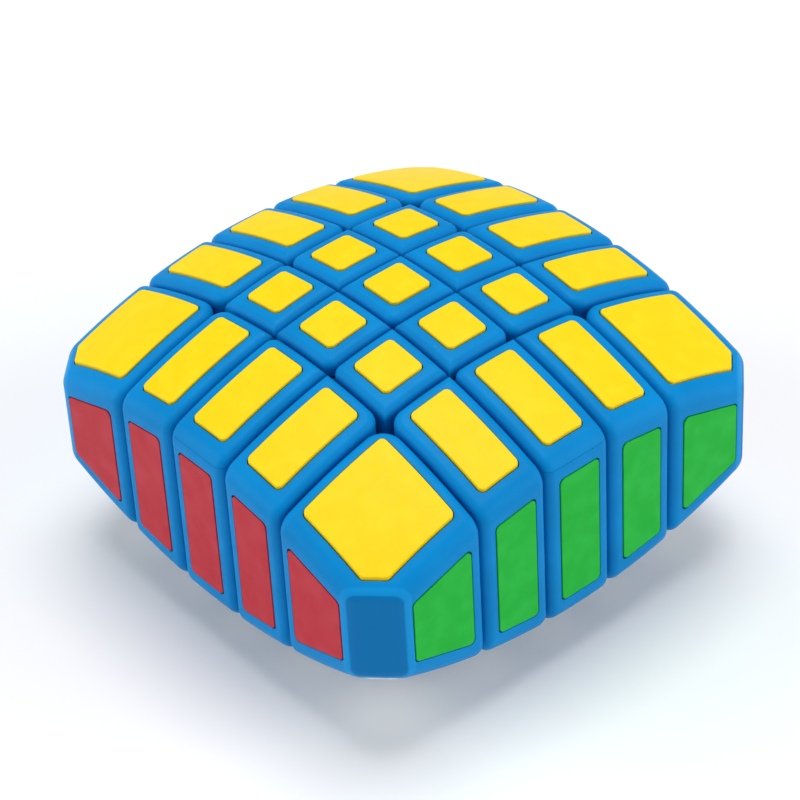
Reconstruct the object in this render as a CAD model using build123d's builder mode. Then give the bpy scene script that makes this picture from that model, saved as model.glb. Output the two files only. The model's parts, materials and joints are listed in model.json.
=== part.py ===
"""Pillow-shaped twisty puzzle: five columns and five rows of pieces, one layer thick.

The puzzle lies flat. Columns a to e run along X and turn about the X axis; rows 1 to 5 run along Y
and turn about the Y axis. The origin is the centre of the puzzle, and its two domes face +Z and -Z.
Millimetres throughout.
"""

import math
import os

from build123d import *

# ---- driving dimensions -------------------------------------------------------------------------
PITCH = 11.0  # width of the three inner columns and rows
HALF_WIDTH = 35.0  # centre to the flat side walls
HALF_HEIGHT = 20.85  # centre to the top of each dome
DOME_RADIUS = 84.0
CORNER_REACH = 64.8  # x + y on the flat that cuts off each outer corner
CORNER_ROUND = 3.2  # plan radius between a side wall and that flat
RIM_ROUND = 2.9  # where a dome rolls over into a wall
EDGE_ROUND = 1.3  # every edge along a cut
SEAM = 0.12  # each piece stops this far short of a cut

# plan radii where four pieces meet
INNER_JUNCTION = 1.6
OUTER_JUNCTION = 2.4
CORNER_JUNCTION = 3.3
SHOULDER = 13.0  # below this height the junction corners are square, to hold the tongues
SHOULDER_REACH = 20.0

# tongues of each layer, which run in ring grooves of the next layer inwards
RUNNING_GAP = 0.15
OUTER_TONGUE = {"cut": 1.5 * PITCH, "neck": 14.6, "head": 11.4, "lip": 14.7, "inner": 12.4, "outer": 17.6}
INNER_TONGUE = {"cut": 0.5 * PITCH, "neck": 4.4, "head": 3.4, "lip": 7.6, "inner": 6.2, "outer": 9.6}
TONGUE_ROOT = 0.6  # how far a tongue runs into its own piece

# tiles
TILE_MARGIN = 2.2  # from a cut to the tile
TILE_RIM_MARGIN = 2.6  # from a side wall to the tile
TILE_CORNER_REACH = 62.4  # x + y on the cut corner of the corner tiles
TILE_DEPTH = 0.9
TILE_PROUD = 0.35
TILE_ROUND = 0.8
TILE_EDGE = 0.22
POCKET_GAP = 0.16
POCKET_EXTRA_DEPTH = 0.05
SIDE_TILE_MARGIN = 2.15
SIDE_TILE_DROP = 2.85  # from the unrounded rim to the side tile
SIDE_TILE_END = 28.4  # outer end of the side tiles on the corner pieces
SIDE_TILE_PROUD = 0.1

# core, axle screws and springs
ARM_RADIUS = 2.0
ARM_END = 20.0
AXLE_BORE = 2.06
HUB_HALF_WIDTH = 4.2
HUB_ROUND = 0.8
HUB_HALF_HEIGHT = 2.55
CLAMP_GAP = 0.05
PILOT_RADIUS = 0.85
PILOT_START = 12.0
SHANK_RADIUS = 0.8
SHANK_END = 13.0
SEAT_START = 20.3
SEAT_END = 21.8
CHAMBER_RADIUS = 3.4
SPRING_RADIUS = 2.0
SPRING_WIRE = 0.3
SPRING_START = SEAT_END + 0.15
SPRING_END = 26.9
SPRING_TURNS = 5
WASHER_RADIUS = 3.1
WASHER_THICKNESS = 0.5
WASHER_START = SPRING_END + 0.05
WASHER_END = WASHER_START + WASHER_THICKNESS + 0.03
HEAD_RADIUS = 2.4
HEAD_HEIGHT = 1.8
CAP_BACK = 32.6  # inner face of the side caps
CAP_HALF_HEIGHT = 12.2
CAP_SEAM = 0.05
PLUG_RADIUS = 3.3
PLUG_LENGTH = 2.0
CENTRE_HEAD = 16.6  # depth of the centre screw's head below the middle plane
CENTRE_SHANK_END = 10.0
CENTRE_PILOT_END = 12.0
HEAD_ROOM = 0.2
SLOT_WIDTH = 0.7
SLOT_DEPTH = 0.9

OUTER_CUT = 1.5 * PITCH
INNER_CUT = 0.5 * PITCH
DOME_CENTRE = HALF_HEIGHT - DOME_RADIUS
FAR = 45.0  # past the outside of the puzzle
TALL = 30.0
COLUMNS = "abcde"

os.makedirs("parts", exist_ok=True)


def dome_height(x, y):
    """Height of the upper dome above the middle plane."""
    return DOME_CENTRE + math.sqrt(DOME_RADIUS**2 - x * x - y * y)


def layer_limits(k):
    """Low and high cut planes of layer k, -2 to 2, shrunk by the seam."""
    cuts = [-FAR, -OUTER_CUT, -INNER_CUT, INNER_CUT, OUTER_CUT, FAR]
    return cuts[k + 2] + SEAM, cuts[k + 3] - SEAM


# ---- the closed pillow that every piece is cut from ---------------------------------------------
def pillow_body():
    near = CORNER_REACH - HALF_WIDTH
    quarter = [(HALF_WIDTH, near), (near, HALF_WIDTH)]
    plan = []
    for turn in range(4):
        plan += [Vector(x, y).rotate(Axis.Z, 90 * turn) for x, y in quarter]
    with BuildPart() as pillow:
        with BuildSketch(Plane.XY.offset(-TALL)):
            with BuildLine():
                Polyline(*plan, close=True)
            make_face()
        extrude(amount=2 * TALL)
        fillet(pillow.edges().filter_by(Axis.Z), CORNER_ROUND)
        # each ball is laid on its side, so that its pole and its seam stay off the dome
        for side in (1, -1):
            with Locations((0, 0, side * DOME_CENTRE)):
                Sphere(DOME_RADIUS, rotation=(0, 90 * side, 0), mode=Mode.INTERSECT)
        fillet(pillow.edges().filter_by(Axis.Z, reverse=True), RIM_ROUND)
    return pillow.part


PILLOW = pillow_body()


def junction_radius(i, j, x, y):
    """Plan radius of piece (i, j) at its corner (x, y), where four pieces meet."""
    if abs(x) > INNER_CUT + 1 and abs(y) > INNER_CUT + 1:
        return CORNER_JUNCTION if i == j == 2 else OUTER_JUNCTION
    return INNER_JUNCTION


def block(i, j):
    """Outside of piece (i, j), 0 <= j <= i <= 2: its cell of the pillow, with rounded edges."""
    (x_low, x_high), (y_low, y_high) = layer_limits(i), layer_limits(j)
    centre = ((x_low + x_high) / 2, (y_low + y_high) / 2)
    with BuildPart() as piece:
        with BuildSketch(Plane.XY.offset(-TALL)) as plan:
            with Locations(centre):
                Rectangle(x_high - x_low, y_high - y_low)
            for corner in plan.vertices():
                if abs(corner.X) < HALF_WIDTH and abs(corner.Y) < HALF_WIDTH:
                    fillet(corner, junction_radius(i, j, corner.X, corner.Y))
        extrude(amount=2 * TALL)
        add(PILLOW, mode=Mode.INTERSECT)
        fillet(cut_edges(piece.part, i, j), EDGE_ROUND)
        # square shoulders deep in the junctions
        with BuildSketch(Plane.XY.offset(-SHOULDER)):
            with Locations(centre):
                Rectangle(x_high - x_low, y_high - y_low)
            Rectangle(2 * SHOULDER_REACH, 2 * SHOULDER_REACH, mode=Mode.INTERSECT)
        extrude(amount=2 * SHOULDER)
    return piece.part


def cut_edges(part, i, j):
    """Edges between the faces that the cuts leave and the outside of the puzzle."""
    (x_low, x_high), (y_low, y_high) = layer_limits(i), layer_limits(j)
    seen = {}
    for face in part.faces():
        middle = face.center()
        upright = abs(face.normal_at(middle).Z) < 1e-6
        inside = abs(middle.X) < HALF_WIDTH - 0.5 and abs(middle.Y) < HALF_WIDTH - 0.5
        on_flat = abs(middle.X) + abs(middle.Y) > CORNER_REACH - 2.0
        if not upright or not inside or on_flat:
            continue
        for edge in face.edges():
            key = tuple(round(v, 3) for v in edge.center())
            seen.setdefault(key, []).append(edge)
    return [edges[0] for edges in seen.values() if len(edges) == 1]



# ---- tongues and grooves ------------------------------------------------------------------------
def hook_profile(tongue, gap):
    """Half section of a hooked ring, as (distance along the axis, radius); gap makes it a groove."""
    root = tongue["cut"] + TONGUE_ROOT
    inner, outer, lip = tongue["inner"] - gap, tongue["outer"] + gap, tongue["lip"] - gap
    head, neck = tongue["head"] - gap, tongue["neck"] + gap
    return [(root, lip), (neck, lip), (neck, inner), (head, inner), (head, outer), (root, outer)]


def ring(axis, tongue, gap=0.0, side=1):
    """Hooked ring about the X or Y axis, on the +/- side of the middle."""
    outline = [(side * along, radius) for along, radius in hook_profile(tongue, gap)]
    if axis == "Y":
        outline = [(radius, along) for along, radius in outline]
    with BuildPart() as hook:
        with BuildSketch():
            with BuildLine():
                Polyline(*outline, close=True)
            make_face()
        revolve(axis=Axis.X if axis == "X" else Axis.Y)
    return hook.part


TONGUES = {1: INNER_TONGUE, 2: OUTER_TONGUE}


def grooves(axis, k):
    """Rings cut out of layer k for the tongues of the layers outside it."""
    if k == 0:
        return [ring(axis, INNER_TONGUE, RUNNING_GAP, side) for side in (1, -1)]
    return [ring(axis, OUTER_TONGUE, RUNNING_GAP)] if k == 1 else []


def layer_slab(axis, k):
    """Layer k with its tongue and its grooves, without the outside shape of the puzzle."""
    low, high = layer_limits(k)
    middle, thick = (low + high) / 2, high - low
    with BuildPart() as slab:
        if axis == "X":
            with Locations((middle, 0, 0)):
                Box(thick, 2 * FAR, 2 * OUTER_CUT)
        else:
            with Locations((0, middle, 0)):
                Box(2 * FAR, thick, 2 * OUTER_CUT)
        for groove in grooves(axis, k):
            add(groove, mode=Mode.SUBTRACT)
        if k:
            add(ring(axis, TONGUES[k]))
    return slab.part


def tongue_part(axis, i, j):
    """The stretch of a layer's tongue that belongs to piece (i, j)."""
    k, other, cross = (i, j, "Y") if axis == "X" else (j, i, "X")
    with BuildPart() as stretch:
        add(ring(axis, TONGUES[k]))
        add(layer_slab(cross, other), mode=Mode.INTERSECT)
    return stretch.part


# ---- tiles --------------------------------------------------------------------------------------
def tile_plan(i, j):
    """Corners of the top tile of piece (i, j) in plan."""
    def limits(k):
        if k == 2:
            return OUTER_CUT + TILE_MARGIN, HALF_WIDTH - TILE_RIM_MARGIN
        return (k - 0.5) * PITCH + TILE_MARGIN, (k + 0.5) * PITCH - TILE_MARGIN

    (x_low, x_high), (y_low, y_high) = limits(i), limits(j)
    if i == j == 2:
        near = TILE_CORNER_REACH - x_high
        return [(x_low, y_low), (x_high, y_low), (x_high, near), (near, y_high), (x_low, y_high)]
    return [(x_low, y_low), (x_high, y_low), (x_high, y_high), (x_low, y_high)]


def dome_tile(i, j, bottom=False, pocket=False):
    """Tile on a dome, or the pocket that it drops into. The centre tile's face is flat."""
    floor = DOME_RADIUS - TILE_DEPTH - (POCKET_EXTRA_DEPTH if pocket else 0)
    with BuildPart() as tile:
        with BuildSketch():
            with BuildLine():
                Polyline(*tile_plan(i, j), close=True)
            make_face()
            if pocket:
                offset(amount=POCKET_GAP, kind=Kind.INTERSECTION)
        extrude(amount=TALL if pocket or i else HALF_HEIGHT + TILE_PROUD)
        rounding = TILE_ROUND + (POCKET_GAP if pocket else 0)
        fillet(tile.edges().filter_by(Axis.Z), rounding)
        if not pocket and i:
            with Locations((0, 0, DOME_CENTRE)):
                Sphere(DOME_RADIUS + TILE_PROUD, rotation=(0, 90, 0), mode=Mode.INTERSECT)
        if not pocket:
            fillet(tile.edges().group_by(Axis.Z)[-1] if not i else top_rim(tile.part), TILE_EDGE)
        with Locations((0, 0, DOME_CENTRE)):
            Sphere(floor, rotation=(0, 90, 0), mode=Mode.SUBTRACT)
        if bottom:
            mirror(about=Plane.XY)
            split(bisect_by=Plane.XY, keep=Keep.BOTTOM)
    return tile.part


def top_rim(part):
    """Edges round the domed face of a tile that still stands on the middle plane."""
    dome = part.faces().sort_by(Axis.Z)[-1]
    return dome.edges()


def side_limits(j):
    """Ends of the side tile along its wall."""
    if j == 2:
        return OUTER_CUT + SIDE_TILE_MARGIN, SIDE_TILE_END
    return (j - 0.5) * PITCH + SIDE_TILE_MARGIN, (j + 0.5) * PITCH - SIDE_TILE_MARGIN


def side_tile(j, pocket=False):
    """Tile on the +X wall at row j, or its pocket."""
    start, end = side_limits(j)
    high_start = dome_height(HALF_WIDTH, start) - SIDE_TILE_DROP
    high_end = dome_height(HALF_WIDTH, end) - SIDE_TILE_DROP
    outline = [(start, -high_start), (end, -high_end), (end, high_end), (start, high_start)]
    depth = TILE_DEPTH + (POCKET_EXTRA_DEPTH if pocket else 0)
    thickness = depth + (1.0 if pocket else SIDE_TILE_PROUD)
    with BuildPart() as tile:
        with BuildSketch(Plane.YZ.offset(HALF_WIDTH - depth)):
            with BuildLine():
                Polyline(*outline, close=True)
            make_face()
            if pocket:
                offset(amount=POCKET_GAP, kind=Kind.INTERSECTION)
        extrude(amount=thickness)
        fillet(tile.edges().filter_by(Axis.X), TILE_ROUND)
        if not pocket:
            fillet(tile.edges().group_by(Axis.X)[-1], TILE_EDGE / 2)
    return tile.part


def side_tiles(i, j, pocket=False):
    """Side tiles of piece (i, j): none inside, one on an edge, two on a corner."""
    if i < 2:
        return []
    found = [side_tile(j, pocket)]
    if j == 2:
        found.append(side_tile(j, pocket).mirror(Plane.XZ.rotated((0, 0, 45))))
    return found


def tile_group(i, j):
    with BuildPart() as tiles:
        add(dome_tile(i, j))
        add(dome_tile(i, j, bottom=True))
        add(side_tiles(i, j))
    return tiles.part


# ---- pieces -------------------------------------------------------------------------------------
def side_cap():
    """Cover of the axle chamber in the middle piece of the +X wall, with a plug on its back."""
    with BuildPart() as cap:
        add(block(2, 0))
        with Locations((CAP_BACK + FAR / 2, 0, 0)):
            Box(FAR, FAR, 2 * CAP_HALF_HEIGHT, mode=Mode.INTERSECT)
        add(side_tile(0, pocket=True), mode=Mode.SUBTRACT)
        with BuildSketch(Plane.YZ.offset(CAP_BACK - PLUG_LENGTH)):
            Circle(PLUG_RADIUS)
        extrude(amount=PLUG_LENGTH)
    return cap.part


def cut_axle(i):
    """Bore of the piece on the +X axle; the outermost one also has the spring seat and chamber."""
    with BuildPart() as hollow:
        with BuildSketch(Plane.YZ):
            Circle(AXLE_BORE)
        extrude(amount=SEAT_START)
        if i == 2:
            with BuildSketch(Plane.YZ):
                Circle(SHANK_RADIUS + 0.1)
            extrude(amount=FAR)
            with BuildSketch(Plane.YZ.offset(SEAT_END)):
                Circle(CHAMBER_RADIUS)
            extrude(amount=FAR)
            with Locations((CAP_BACK - CAP_SEAM + FAR / 2, 0, 0)):
                Box(FAR, FAR, 2 * (CAP_HALF_HEIGHT + CAP_SEAM))
    return hollow.part


def cubie(i, j):
    """Piece (i, j) of the first octant, 0 <= j <= i <= 2."""
    with BuildPart() as piece:
        add(block(i, j))
        for groove in grooves("X", i) + grooves("Y", j):
            add(groove, mode=Mode.SUBTRACT)
        if i:
            add(tongue_part("X", i, j))
        if j and (j, i) != (1, 2):
            add(tongue_part("Y", i, j))
        add(dome_tile(i, j, pocket=True), mode=Mode.SUBTRACT)
        add(dome_tile(i, j, pocket=True).mirror(Plane.XY), mode=Mode.SUBTRACT)
        if j == 0 and i:
            add(cut_axle(i), mode=Mode.SUBTRACT)
        if j:
            for hollow in side_tiles(i, j, pocket=True):
                add(hollow, mode=Mode.SUBTRACT)
    # crumbs that crossing grooves leave loose are dropped
    return piece.part.solids().sort_by(SortBy.VOLUME)[-1]




# ---- core, centre shells and hardware -----------------------------------------------------------
def hub(grow=0.0):
    """Solid hub with four arms; grown, it is the hollow that the centre shells close round."""
    with BuildPart() as body:
        width = 2 * (HUB_HALF_WIDTH + grow)
        Box(width, width, 2 * (HUB_HALF_HEIGHT + grow))
        fillet(body.edges().filter_by(Axis.Z), HUB_ROUND)
        for plane in (Plane.YZ, Plane.XZ):
            with BuildSketch(plane):
                Circle(ARM_RADIUS + grow)
            extrude(amount=ARM_END, both=True)
    return body.part


def core():
    with BuildPart() as body:
        add(hub())
        for quarter in range(4):
            with BuildSketch(Plane.YZ.rotated((0, 0, 90 * quarter)).offset(PILOT_START)):
                Circle(PILOT_RADIUS)
            extrude(amount=ARM_END, mode=Mode.SUBTRACT)
        with BuildSketch():
            Circle(SHANK_RADIUS + 0.1)
        extrude(amount=TALL, both=True, mode=Mode.SUBTRACT)
    return body.part


def centre_shell(side):
    """Half of the centre piece, above (+1) or below (-1) the middle plane."""
    with BuildPart() as shell:
        add(cubie(0, 0))
        with Locations((0, 0, side * (CLAMP_GAP / 2 + FAR / 2))):
            Box(FAR, FAR, FAR, mode=Mode.INTERSECT)
        add(hub(CLAMP_GAP), mode=Mode.SUBTRACT)
        if side > 0:
            with BuildSketch():
                Circle(PILOT_RADIUS)
            extrude(amount=CENTRE_PILOT_END, mode=Mode.SUBTRACT)
        else:
            with BuildSketch():
                Circle(SHANK_RADIUS + 0.1)
            extrude(amount=-TALL, mode=Mode.SUBTRACT)
            with BuildSketch(Plane.XY.offset(-CENTRE_HEAD)):
                Circle(HEAD_RADIUS + HEAD_ROOM)
            extrude(amount=-TALL, mode=Mode.SUBTRACT)
    return shell.part


def screw(shank_length):
    """Pan-head screw standing on its head's underside, with the shank pointing down."""
    with BuildPart() as body:
        with BuildSketch():
            Circle(HEAD_RADIUS)
        extrude(amount=HEAD_HEIGHT)
        fillet(body.edges().sort_by(Axis.Z)[-1], HEAD_HEIGHT / 2)
        with BuildSketch():
            Circle(SHANK_RADIUS)
        extrude(amount=-shank_length)
        chamfer(body.edges().sort_by(Axis.Z)[0], SHANK_RADIUS / 2)
        with BuildSketch(Plane.XY.offset(HEAD_HEIGHT)):
            Rectangle(2.4 * SLOT_WIDTH + HEAD_RADIUS, SLOT_WIDTH)
            Rectangle(SLOT_WIDTH, 2.4 * SLOT_WIDTH + HEAD_RADIUS)
        extrude(amount=-SLOT_DEPTH, mode=Mode.SUBTRACT)
    return body.part


def spring():
    """Helical compression spring standing on the XY plane."""
    height = SPRING_END - SPRING_START - 2 * SPRING_WIRE
    with BuildPart() as coil:
        with BuildLine():
            wire = Helix(pitch=height / SPRING_TURNS, height=height, radius=SPRING_RADIUS)
        with BuildSketch(Plane(origin=wire @ 0, z_dir=wire % 0)):
            Circle(SPRING_WIRE)
        sweep(path=wire, is_frenet=True)
    return coil.part


def washer():
    with BuildPart() as ring_washer:
        with BuildSketch():
            Circle(WASHER_RADIUS)
            Circle(SHANK_RADIUS + 0.1, mode=Mode.SUBTRACT)
        extrude(amount=WASHER_THICKNESS)
    return ring_washer.part


def on_axles(item, distance):
    """Four copies of an upright item, turned to lie along the arms and set out from the centre."""
    with BuildPart() as group:
        for quarter in range(4):
            arm = Plane.YZ.rotated((0, 0, 90 * quarter)).offset(distance)
            add(item.moved(arm.location))
    return group.part


# ---- placing the pieces -------------------------------------------------------------------------
def placement(i, j):
    """The flip of Y and the quarter turns that carry a piece of the first octant to cell (i, j)."""
    x, y = sorted((abs(i), abs(j)), reverse=True)
    for flipped in (False, True):
        a, b = x, -y if flipped else y
        for quarter in range(4):
            if (a, b) == (i, j):
                return flipped, quarter
            a, b = -b, a


def placed(part, i, j):
    flipped, quarter = placement(i, j)
    with BuildPart() as piece:
        add(part.mirror(Plane.XZ) if flipped else part, rotation=(0, 0, 90 * quarter), clean=False)
    return piece.part


def save(part, name):
    part.label = name
    export_step(part, f"parts/{name}.step")
    print(f"{name:20s} {len(part.solids())} solids, {part.volume / 1000:7.3f} cm3, valid {part.is_valid}")


KINDS = {(1, 0): "inner_edge", (1, 1): "inner_corner", (2, 0): "side_middle", (2, 1): "edge", (2, 2): "corner"}
SHAPES = {octant: cubie(*octant) for octant in KINDS}
TILES = {octant: tile_group(*octant) for octant in [(0, 0), *KINDS]}
CAP = side_cap()

for i in range(-2, 3):
    for j in range(-2, 3):
        octant = tuple(sorted((abs(i), abs(j)), reverse=True))
        cell = f"{COLUMNS[i + 2]}{j + 3}"
        save(placed(TILES[octant], i, j), f"tiles_{cell}")
        if octant in KINDS:
            save(placed(SHAPES[octant], i, j), f"{KINDS[octant]}_{cell}")
        if octant == (2, 0):
            save(placed(CAP, i, j), f"side_cap_{cell}")

save(centre_shell(1), "centre_top")
save(centre_shell(-1), "centre_bottom")
save(core(), "core")
save(on_axles(screw(WASHER_END - SHANK_END), WASHER_END), "axle_screws")
save(on_axles(washer(), WASHER_START), "axle_washers")
save(on_axles(spring(), SPRING_START + SPRING_WIRE), "axle_springs")
save(screw(CENTRE_HEAD + CENTRE_SHANK_END).rotate(Axis.X, 180).moved(Location((0, 0, -CENTRE_HEAD))), "centre_screw")
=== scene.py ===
# %% [markdown]
# # A pillow-shaped twisty puzzle
#
# The puzzle is one layer thick and five by five pieces wide. The CAD frame holds every piece, every
# tile and the mechanism at real size. This lesson adds what the eye judges: clean shading on the
# rounded pieces, one object for each coloured tile, plastics with the marks of use, and soft light.

# %% Load the frame
import json
import math

import bmesh
import bpy
from mathutils import Matrix, Vector


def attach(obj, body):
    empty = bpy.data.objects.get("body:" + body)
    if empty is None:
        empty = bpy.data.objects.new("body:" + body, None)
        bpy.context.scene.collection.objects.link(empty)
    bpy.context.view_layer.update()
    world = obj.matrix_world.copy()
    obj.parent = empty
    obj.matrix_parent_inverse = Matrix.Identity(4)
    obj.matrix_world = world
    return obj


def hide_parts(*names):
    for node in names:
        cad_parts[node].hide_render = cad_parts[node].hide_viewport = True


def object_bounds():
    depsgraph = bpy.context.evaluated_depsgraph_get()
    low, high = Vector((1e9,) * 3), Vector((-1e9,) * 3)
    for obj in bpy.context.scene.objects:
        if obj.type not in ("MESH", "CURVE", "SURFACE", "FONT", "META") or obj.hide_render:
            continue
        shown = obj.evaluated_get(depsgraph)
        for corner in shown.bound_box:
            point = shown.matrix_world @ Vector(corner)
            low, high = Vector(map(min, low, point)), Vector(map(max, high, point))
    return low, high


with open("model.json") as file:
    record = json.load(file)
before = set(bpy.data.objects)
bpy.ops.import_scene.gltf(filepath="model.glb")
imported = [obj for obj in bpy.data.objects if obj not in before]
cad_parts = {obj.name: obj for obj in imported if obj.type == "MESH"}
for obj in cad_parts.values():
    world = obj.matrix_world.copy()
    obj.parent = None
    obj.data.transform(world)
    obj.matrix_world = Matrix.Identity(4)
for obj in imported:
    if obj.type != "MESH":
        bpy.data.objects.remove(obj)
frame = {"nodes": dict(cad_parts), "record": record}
MM = 0.001
cad_low, cad_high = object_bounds()
print("CAD box, mm:", [round(v / MM, 2) for v in (*cad_low, *cad_high)])

# %% [markdown]
# ## Camera
#
# The puzzle is seen from the front corner, about forty degrees above the table, through a long lens
# that keeps the far tiles nearly as large as the near ones. The camera sits on a sphere around a
# target close to the middle of the puzzle, so two angles, a distance and a small roll place it.

# %% Place the camera
AZIMUTH, ELEVATION, ROLL = (math.radians(a) for a in (51.42, 38.96, -3.41))
DISTANCE = 0.4463
LENS_MM, SENSOR_MM = 148.44, 36.0
TARGET = Vector((0.31, -0.87, 1.85)) * MM


def camera_axes(azimuth, elevation, roll):
    """The camera's right, up and backward directions."""
    back = Vector((math.sin(azimuth) * math.cos(elevation), -math.cos(azimuth) * math.cos(elevation),
                   math.sin(elevation)))
    level = Vector((math.cos(azimuth), math.sin(azimuth), 0.0))
    upward = back.cross(level)
    right = level * math.cos(roll) + upward * math.sin(roll)
    return right, back.cross(right), back


camera = bpy.data.objects.new("camera", bpy.data.cameras.new("camera"))
bpy.context.scene.collection.objects.link(camera)
bpy.context.scene.camera = camera
camera.data.lens = LENS_MM
camera.data.sensor_width = SENSOR_MM
right, upward, back = camera_axes(AZIMUTH, ELEVATION, ROLL)
facing = Matrix((right, upward, back)).transposed().to_4x4()
camera.matrix_world = Matrix.Translation(TARGET + back * DISTANCE) @ facing
print("camera at, mm:", [round(v / MM, 1) for v in camera.matrix_world.translation])

# %% [markdown]
# ## Colours and nodes
#
# Colours are written as sRGB hex, the way a paint or plastics maker would match them, and turned to
# linear values once. One small function adds a shader node with its settings and its links.


# %% Two helpers for materials
def linear(hex_colour):
    """sRGB hex to a linear RGBA tuple."""
    channels = [int(hex_colour[k:k + 2], 16) / 255 for k in (1, 3, 5)]
    return (*(c / 12.92 if c <= 0.04045 else ((c + 0.055) / 1.055) ** 2.4 for c in channels), 1.0)


def add_node(tree, kind, inputs=None, **settings):
    """Adds a node; inputs maps a socket's name or number to a value or to another node's output."""
    made = tree.nodes.new(kind)
    for name, value in settings.items():
        setattr(made, name, value)
    for name, value in (inputs or {}).items():
        if isinstance(value, bpy.types.NodeSocket):
            tree.links.new(value, made.inputs[name])
        else:
            made.inputs[name].default_value = value
    return made


def new_material(name):
    """An empty material with its tree, its Principled shader and the object coordinates in mm."""
    material = bpy.data.materials.new(name)
    material.use_nodes = True
    tree = material.node_tree
    tree.nodes.clear()
    place = add_node(tree, "ShaderNodeTexCoord")
    in_mm = add_node(tree, "ShaderNodeVectorMath", {0: place.outputs["Object"], "Scale": 1 / MM},
                     operation="SCALE")
    shader = add_node(tree, "ShaderNodeBsdfPrincipled")
    add_node(tree, "ShaderNodeOutputMaterial", {"Surface": shader.outputs["BSDF"]})
    return material, tree, shader, in_mm.outputs["Vector"]


# %% [markdown]
# ## Blue plastic
#
# The pieces are a dyed, satin-finished plastic, laid down in thin level layers and then smoothed by
# hand. So the blue is even, with a slight cloudiness, faint level streaks that follow the height,
# most of all on the rolled rims, and a few pale scuffs. The true layers are 0.1 mm; the streaks
# are drawn 0.35 mm apart, because finer ones wouldn't show.
#
# The flats that cut off the outer corners are painted darker than the walls, as painted shade, inside a paler
# band along their edges that is a painted highlight. The sum |x| + |y| is largest on those flats, so it tells
# them from the rest.


# %% Blue plastic
def streaks(tree, where, spacing, length):
    """Soft level streaks: noise that changes fast with height and slowly along it."""
    squeezed = add_node(tree, "ShaderNodeMapping", {
        "Vector": where, "Scale": (1 / length, 1 / length, 1 / spacing)})
    return add_node(tree, "ShaderNodeTexNoise", {
        "Vector": squeezed.outputs["Vector"], "Scale": 1.0, "Detail": 2.0}, normalize=True).outputs["Fac"]


def blotches(tree, where, size, detail=2.0):
    """Even noise whose patches are about size millimetres across."""
    return add_node(tree, "ShaderNodeTexNoise", {
        "Vector": where, "Scale": 1 / size, "Detail": detail}).outputs["Fac"]


def between(tree, value, low, high, out_low=0.0, out_high=1.0):
    """Maps low..high of value to out_low..out_high, clamped."""
    return add_node(tree, "ShaderNodeMapRange", {"Value": value, "From Min": low, "From Max": high,
                                                 "To Min": out_low, "To Max": out_high}).outputs["Result"]


def tinted(tree, factor, first, second):
    """Mixes two colours, each a fixed one or another node's output."""
    mix = add_node(tree, "ShaderNodeMix", data_type="RGBA")
    tree.links.new(factor, mix.inputs["Factor"])
    for socket, colour in ((mix.inputs[6], first), (mix.inputs[7], second)):
        if isinstance(colour, bpy.types.NodeSocket):
            tree.links.new(colour, socket)
        else:
            socket.default_value = colour
    return mix.outputs[2]


# sizes in mm
CLOUD_SIZE, SCUFF_SIZE, GRAIN_SIZE = 6.0, 0.55, 0.25
STREAK_SPACING, STREAK_LENGTH = 0.35, 9.0
# the paler band at the edge of the corner flats is a painted highlight
PAINTED_HIGHLIGHT_REACH, PAINTED_HIGHLIGHT_FADE = 63.7, 0.4
# the darker corner flats are painted shade
PAINTED_SHADE_REACH, PAINTED_SHADE_FADE = 64.4, 0.08


def blue_plastic():
    material, tree, shader, where = new_material("dyed_satin_nylon_blue")
    cloud = between(tree, blotches(tree, where, CLOUD_SIZE), 0.3, 0.7)
    base = tinted(tree, cloud, linear("#007FC2"), linear("#0087CC"))
    scuffed = between(tree, blotches(tree, where, SCUFF_SIZE, 6.0), 0.72, 0.80, 0.0, 0.25)
    base = tinted(tree, scuffed, base, linear("#7FC4EE"))
    positive = add_node(tree, "ShaderNodeVectorMath", {0: where}, operation="ABSOLUTE")
    reach = add_node(tree, "ShaderNodeVectorMath", {
        0: positive.outputs["Vector"], 1: (1, 1, 0)}, operation="DOT_PRODUCT").outputs["Value"]
    # painted highlight: a paler band along the edge of each corner flat
    edge = between(tree, reach, PAINTED_HIGHLIGHT_REACH - PAINTED_HIGHLIGHT_FADE, PAINTED_HIGHLIGHT_REACH, 0.0, 0.5)
    base = tinted(tree, edge, base, linear("#1A9AE0"))
    # painted shade: the corner flats are darker than the walls
    painted_shade = between(tree, reach, PAINTED_SHADE_REACH - PAINTED_SHADE_FADE, PAINTED_SHADE_REACH + PAINTED_SHADE_FADE, 0.0, 0.9)
    base = tinted(tree, painted_shade, base, linear("#0070B0"))
    tree.links.new(base, shader.inputs["Base Color"])
    level = streaks(tree, where, STREAK_SPACING, STREAK_LENGTH)
    tree.links.new(between(tree, level, 0.3, 0.7, 0.42, 0.52), shader.inputs["Roughness"])
    grain = blotches(tree, where, GRAIN_SIZE, 3.0)
    height = add_node(tree, "ShaderNodeMath", {0: level, 1: 0.6, 2: grain}, operation="MULTIPLY_ADD")
    bump = add_node(tree, "ShaderNodeBump", {
        "Strength": 0.12, "Distance": 0.05 * MM, "Height": height.outputs[0]})
    tree.links.new(bump.outputs["Normal"], shader.inputs["Normal"])
    shader.inputs["IOR"].default_value = 1.5
    shader.inputs["Specular IOR Level"].default_value = 0.08
    return material


BLUE = blue_plastic()


# %% [markdown]
# ## Tile plastics
#
# The tiles are moulded in solid colour, with a satin face that has a very fine orange peel. Handling
# leaves them a little paler in places. One function makes all six colours, so that they differ in
# nothing but the dye.


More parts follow.
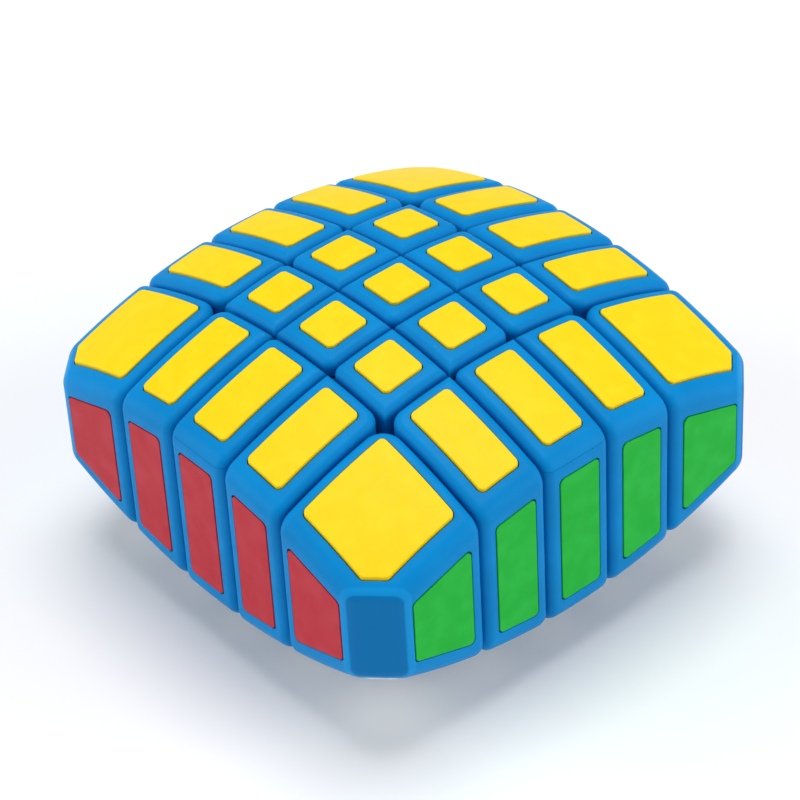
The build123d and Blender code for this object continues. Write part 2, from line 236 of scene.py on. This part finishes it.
# %% Tile plastics
def tile_plastic(name, main, pale):
    material, tree, shader, where = new_material(name)
    cloud = between(tree, blotches(tree, where, 2.4, 3.0), 0.42, 0.72)
    tree.links.new(tinted(tree, cloud, linear(main), linear(pale)), shader.inputs["Base Color"])
    sheen = between(tree, blotches(tree, where, 1.2, 4.0), 0.3, 0.7, 0.44, 0.56)
    tree.links.new(sheen, shader.inputs["Roughness"])
    peel = blotches(tree, where, 0.4, 2.0)
    bump = add_node(tree, "ShaderNodeBump", {"Strength": 0.15, "Distance": 0.03 * MM, "Height": peel})
    tree.links.new(bump.outputs["Normal"], shader.inputs["Normal"])
    shader.inputs["IOR"].default_value = 1.5
    shader.inputs["Specular IOR Level"].default_value = 0.2
    return material


TILE_COLOURS = {
    "yellow": ("#F8D000", "#F8D610"),
    "white": ("#E9E9E6", "#F2F2F0"),
    "red": ("#B81E2E", "#BE303E"),
    "green": ("#00AE2C", "#1CB83C"),
    "orange": ("#EE7A14", "#F28A2C"),
    "purple": ("#6A3A96", "#7A4CA6"),
}
TILE_PLASTICS = {
    colour: tile_plastic(f"moulded_tile_{colour}", *hexes) for colour, hexes in TILE_COLOURS.items()}


# %% [markdown]
# ## Metal and core
#
# The screws and washers are zinc-plated steel, the springs drawn steel wire, and the core black
# moulded plastic. They show only when a side cap is off, but they get real finishes all the same.


# %% Metal and core finishes
def plated_steel():
    material, tree, shader, where = new_material("zinc_plated_steel")
    shader.inputs["Base Color"].default_value = linear("#B9BBBD")
    shader.inputs["Metallic"].default_value = 1.0
    polish = between(tree, blotches(tree, where, 0.5, 4.0), 0.3, 0.7, 0.24, 0.38)
    tree.links.new(polish, shader.inputs["Roughness"])
    return material


def core_plastic():
    material, tree, shader, where = new_material("black_moulded_abs")
    tree.links.new(tinted(tree, blotches(tree, where, 2.0), linear("#141414"), linear("#1E1E20")),
                   shader.inputs["Base Color"])
    shader.inputs["Roughness"].default_value = 0.5
    return material


STEEL = plated_steel()
CORE_PLASTIC = core_plastic()

# %% [markdown]
# ## Pieces with smooth shading
#
# The frame's meshes are loose triangles, so they shade as facets. Each blue piece is copied, its
# triangles are merged, edges sharper than a rolled rim keep a hard line, and the rest shades smooth.
# Weighted normals keep the flat walls flat right up to their rounded edges.

# %% Merge and smooth a copy
MERGE = 1e-6
HARD_ANGLE = math.radians(32)


def merged_copy(node):
    """A bmesh of the node's triangles, merged, with its hard edges marked."""
    mesh = bmesh.new()
    mesh.from_mesh(node.data)
    bmesh.ops.remove_doubles(mesh, verts=mesh.verts, dist=MERGE)
    for face in mesh.faces:
        face.smooth = True
    for edge in mesh.edges:
        edge.smooth = len(edge.link_faces) == 2 and edge.calc_face_angle(math.pi) < HARD_ANGLE
    return mesh


def finished_piece(name, mesh, material, body, slot, nodes):
    """Turns a bmesh into an object that rides on a body and stands for CAD nodes."""
    data = bpy.data.meshes.new(name)
    mesh.to_mesh(data)
    mesh.free()
    data.materials.append(material)
    piece = bpy.data.objects.new(name, data)
    bpy.context.scene.collection.objects.link(piece)
    weighted = piece.modifiers.new("even_normals", "WEIGHTED_NORMAL")
    weighted.keep_sharp = True
    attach(piece, body)
    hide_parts(*nodes)
    return piece


node_slots = {part["node"]: part["material_slot"] for part in frame["record"]["subparts"]}
bodies = frame["record"]["behaviour"]["bodies"]
node_body = {node: body for body, nodes in bodies.items() for node in nodes}
FINISHES = {"blue_plastic": BLUE, "steel_hardware": STEEL, "core_plastic": CORE_PLASTIC}
finished = 0
for name, node in frame["nodes"].items():
    if node_slots[name] in FINISHES and name != "axle_springs":
        finished_piece(f"{name}_smooth", merged_copy(node), FINISHES[node_slots[name]], node_body[name],
                       node_slots[name], [name])
        finished += 1
print("smooth pieces:", finished)

# %% [markdown]
# ## Springs
#
# Four compression springs hold the layers against the core. Each is one wire on a helix, so a tree
# of Geometry Nodes draws the helix, sweeps the wire along it, lays it along an arm and repeats it
# on the four arms. Its sizes are named inputs, in metres, so a stiffer spring is one number away.


# %% The spring tree
ARMS = 4
POINTS_PER_TURN, WIRE_SIDES = 28, 10
SPRING_SIZES = {
    "Coil radius": 2.0 * MM, "Wire radius": 0.3 * MM, "Seat": 21.95 * MM, "Length": 4.95 * MM, "Turns": 5.0}


def spring_tree():
    tree = bpy.data.node_groups.new("arm_springs", "GeometryNodeTree")
    tree.interface.new_socket("Geometry", in_out="OUTPUT", socket_type="NodeSocketGeometry")
    for name in SPRING_SIZES:
        tree.interface.new_socket(name, in_out="INPUT", socket_type="NodeSocketFloat")
    sizes = add_node(tree, "NodeGroupInput").outputs

    def maths(operation, first, second, third=0.0):
        return add_node(tree, "ShaderNodeMath", {
            0: first, 1: second, 2: third}, operation=operation).outputs[0]

    height = maths("MULTIPLY_ADD", sizes["Wire radius"], -2.0, sizes["Length"])
    helix = add_node(tree, "GeometryNodeCurveSpiral", {
        "Resolution": POINTS_PER_TURN, "Rotations": sizes["Turns"], "Start Radius": sizes["Coil radius"],
        "End Radius": sizes["Coil radius"], "Height": height})
    section = add_node(tree, "GeometryNodeCurvePrimitiveCircle", {
        "Resolution": WIRE_SIDES, "Radius": sizes["Wire radius"]})
    wire = add_node(tree, "GeometryNodeCurveToMesh", {
        "Curve": helix.outputs["Curve"], "Profile Curve": section.outputs["Curve"], "Fill Caps": True})
    seat = add_node(tree, "ShaderNodeCombineXYZ", {"X": maths("ADD", sizes["Seat"], sizes["Wire radius"])})
    laid = add_node(tree, "GeometryNodeTransform", {
        "Geometry": wire.outputs["Mesh"], "Translation": seat.outputs["Vector"],
        "Rotation": (0.0, math.pi / 2, 0.0)})
    arms = add_node(tree, "GeometryNodePoints", {"Count": ARMS})
    arm = add_node(tree, "GeometryNodeInputIndex")
    turn = add_node(tree, "ShaderNodeCombineXYZ", {"Z": maths("MULTIPLY", arm.outputs["Index"], math.tau / ARMS)})
    copies = add_node(tree, "GeometryNodeInstanceOnPoints", {
        "Points": arms.outputs[0], "Instance": laid.outputs["Geometry"],
        "Rotation": turn.outputs["Vector"]})
    real = add_node(tree, "GeometryNodeRealizeInstances", {"Geometry": copies.outputs["Instances"]})
    finish = add_node(tree, "GeometryNodeSetMaterial", {
        "Geometry": real.outputs["Geometry"], "Material": STEEL})
    add_node(tree, "NodeGroupOutput", {"Geometry": finish.outputs["Geometry"]})
    return tree


def made_by_tree(name, tree, sizes):
    """The plain mesh that a tree makes from its named sizes."""
    maker = bpy.data.objects.new(name, bpy.data.meshes.new(name))
    bpy.context.scene.collection.objects.link(maker)
    modifier = maker.modifiers.new(name, "NODES")
    modifier.node_group = tree
    for socket in tree.interface.items_tree:
        if socket.in_out == "INPUT":
            modifier[socket.identifier] = sizes[socket.name]
    plain = bpy.data.meshes.new_from_object(maker.evaluated_get(bpy.context.evaluated_depsgraph_get()))
    bpy.data.objects.remove(maker)
    return plain


# %% Springs on the arms
wires = bmesh.new()
wires.from_mesh(made_by_tree("spring_maker", spring_tree(), SPRING_SIZES))
bmesh.ops.recalc_face_normals(wires, faces=wires.faces)
for face in wires.faces:
    face.smooth = len(face.verts) == 4
print("faces of the springs:", len(wires.faces))
finished_piece("axle_springs_wire", wires, STEEL, node_body["axle_springs"], "steel_hardware",
               ["axle_springs"])


# %% [markdown]
# ## One object for each tile
#
# A tile node holds all the tiles of one piece. Their colours differ from wall to wall, so each
# connected island becomes an object of its own, coloured by the way that it faces.


# %% Split the tiles by colour
def islands(mesh):
    """Lists of faces that hang together, in the order of their first faces."""
    mesh.faces.index_update()
    seen = set()
    for first in mesh.faces:
        if first.index in seen:
            continue
        seen.add(first.index)
        group = [first]
        for face in group:  # the list grows while it is read
            for other in (neighbour for edge in face.edges for neighbour in edge.link_faces):
                if other.index not in seen:
                    seen.add(other.index)
                    group.append(other)
        yield group


def facing_of(centre, faces):
    """Colour and side of a tile, from its largest face."""
    outward = max(faces, key=lambda face: face.calc_area()).normal.copy()
    if abs(outward.z) > 0.7:
        return ("yellow", "top") if centre.z > 0 else ("white", "bottom")
    if abs(centre.x) / abs(cad_high[0]) > 0.9:
        return ("green", "right") if centre.x > 0 else ("purple", "left")
    return ("orange", "back") if centre.y > 0 else ("red", "front")


def extract(mesh, faces):
    """A new bmesh with copies of some faces."""
    single = bmesh.new()
    copies = {}
    for face in faces:
        corners = []
        for vert in face.verts:
            if vert not in copies:
                copies[vert] = single.verts.new(vert.co)
            corners.append(copies[vert])
        single.faces.new(corners).smooth = True
    for edge in single.edges:
        edge.smooth = len(edge.link_faces) == 2 and edge.calc_face_angle(math.pi) < HARD_ANGLE
    single.normal_update()
    return single


tiles = {}
for name, node in frame["nodes"].items():
    if not name.startswith("tiles_"):
        continue
    cell = name.split("_")[1]
    mesh = merged_copy(node)
    for faces in islands(mesh):
        centre = sum((face.calc_center_median() for face in faces), Vector()) / len(faces)
        colour, side = facing_of(centre, faces)
        tiles[side, cell] = finished_piece(f"tile_{side}_{cell}", extract(mesh, faces),
                                           TILE_PLASTICS[colour], node_body[name], f"{colour}_tile", [name])
    mesh.free()
print("tiles:", len(tiles))

# %% [markdown]
# ## Floor and light
#
# A large pale sheet stands for the table of a small light tent. The tent has one glowing panel
# above, a little behind the puzzle, which makes the domes bright and leaves a soft shadow under the
# overhanging walls. A panel on each side faces one of the seen walls, so the cut corner between the
# walls stays darker than both, and a dim even surround fills the rest.

# %% Floor
floor_mesh = bpy.data.meshes.new("floor")
REACH = 3.0
floor_height = cad_low[2]
corners = ((-REACH, -REACH), (REACH, -REACH), (REACH, REACH), (-REACH, REACH))
floor_mesh.from_pydata([(x, y, floor_height) for x, y in corners], [], [(0, 1, 2, 3)])
floor = bpy.data.objects.new("floor", floor_mesh)
bpy.context.scene.collection.objects.link(floor)
paper = bpy.data.materials.new("pale_paper")
paper.use_nodes = True
paper.node_tree.nodes["Principled BSDF"].inputs["Base Color"].default_value = linear("#F1F3F4")
paper.node_tree.nodes["Principled BSDF"].inputs["Roughness"].default_value = 0.8
floor_mesh.materials.append(paper)


# %% Lights
def soft_light(name, towards, width, strength):
    """A light so broad and far that it reads as a glowing panel; width is the angle that it spans."""
    lamp = bpy.data.lights.new(name, "SUN")
    lamp.angle = math.radians(width)
    lamp.energy = strength
    light = bpy.data.objects.new(name, lamp)
    bpy.context.scene.collection.objects.link(light)
    light.matrix_world = Vector(towards).to_track_quat("Z", "Y").to_matrix().to_4x4()
    return light


TOP_WIDTH, SIDE_WIDTH = 40, 45
TOP_STRENGTH, SIDE_STRENGTH = 1.95, 1.25
soft_light("top_panel", (-0.10, 0.15, 1.0), TOP_WIDTH, TOP_STRENGTH)
soft_light("left_panel", (-0.54, -0.77, 0.35), SIDE_WIDTH, SIDE_STRENGTH)
soft_light("right_panel", (0.77, 0.54, 0.35), SIDE_WIDTH, SIDE_STRENGTH)
surround = bpy.data.worlds.new("surround")
surround.use_nodes = True
surround.node_tree.nodes["Background"].inputs["Color"].default_value = linear("#F6FAFF")
surround.node_tree.nodes["Background"].inputs["Strength"].default_value = 0.33
bpy.context.scene.world = surround
bpy.context.scene.view_settings.view_transform = "Standard"
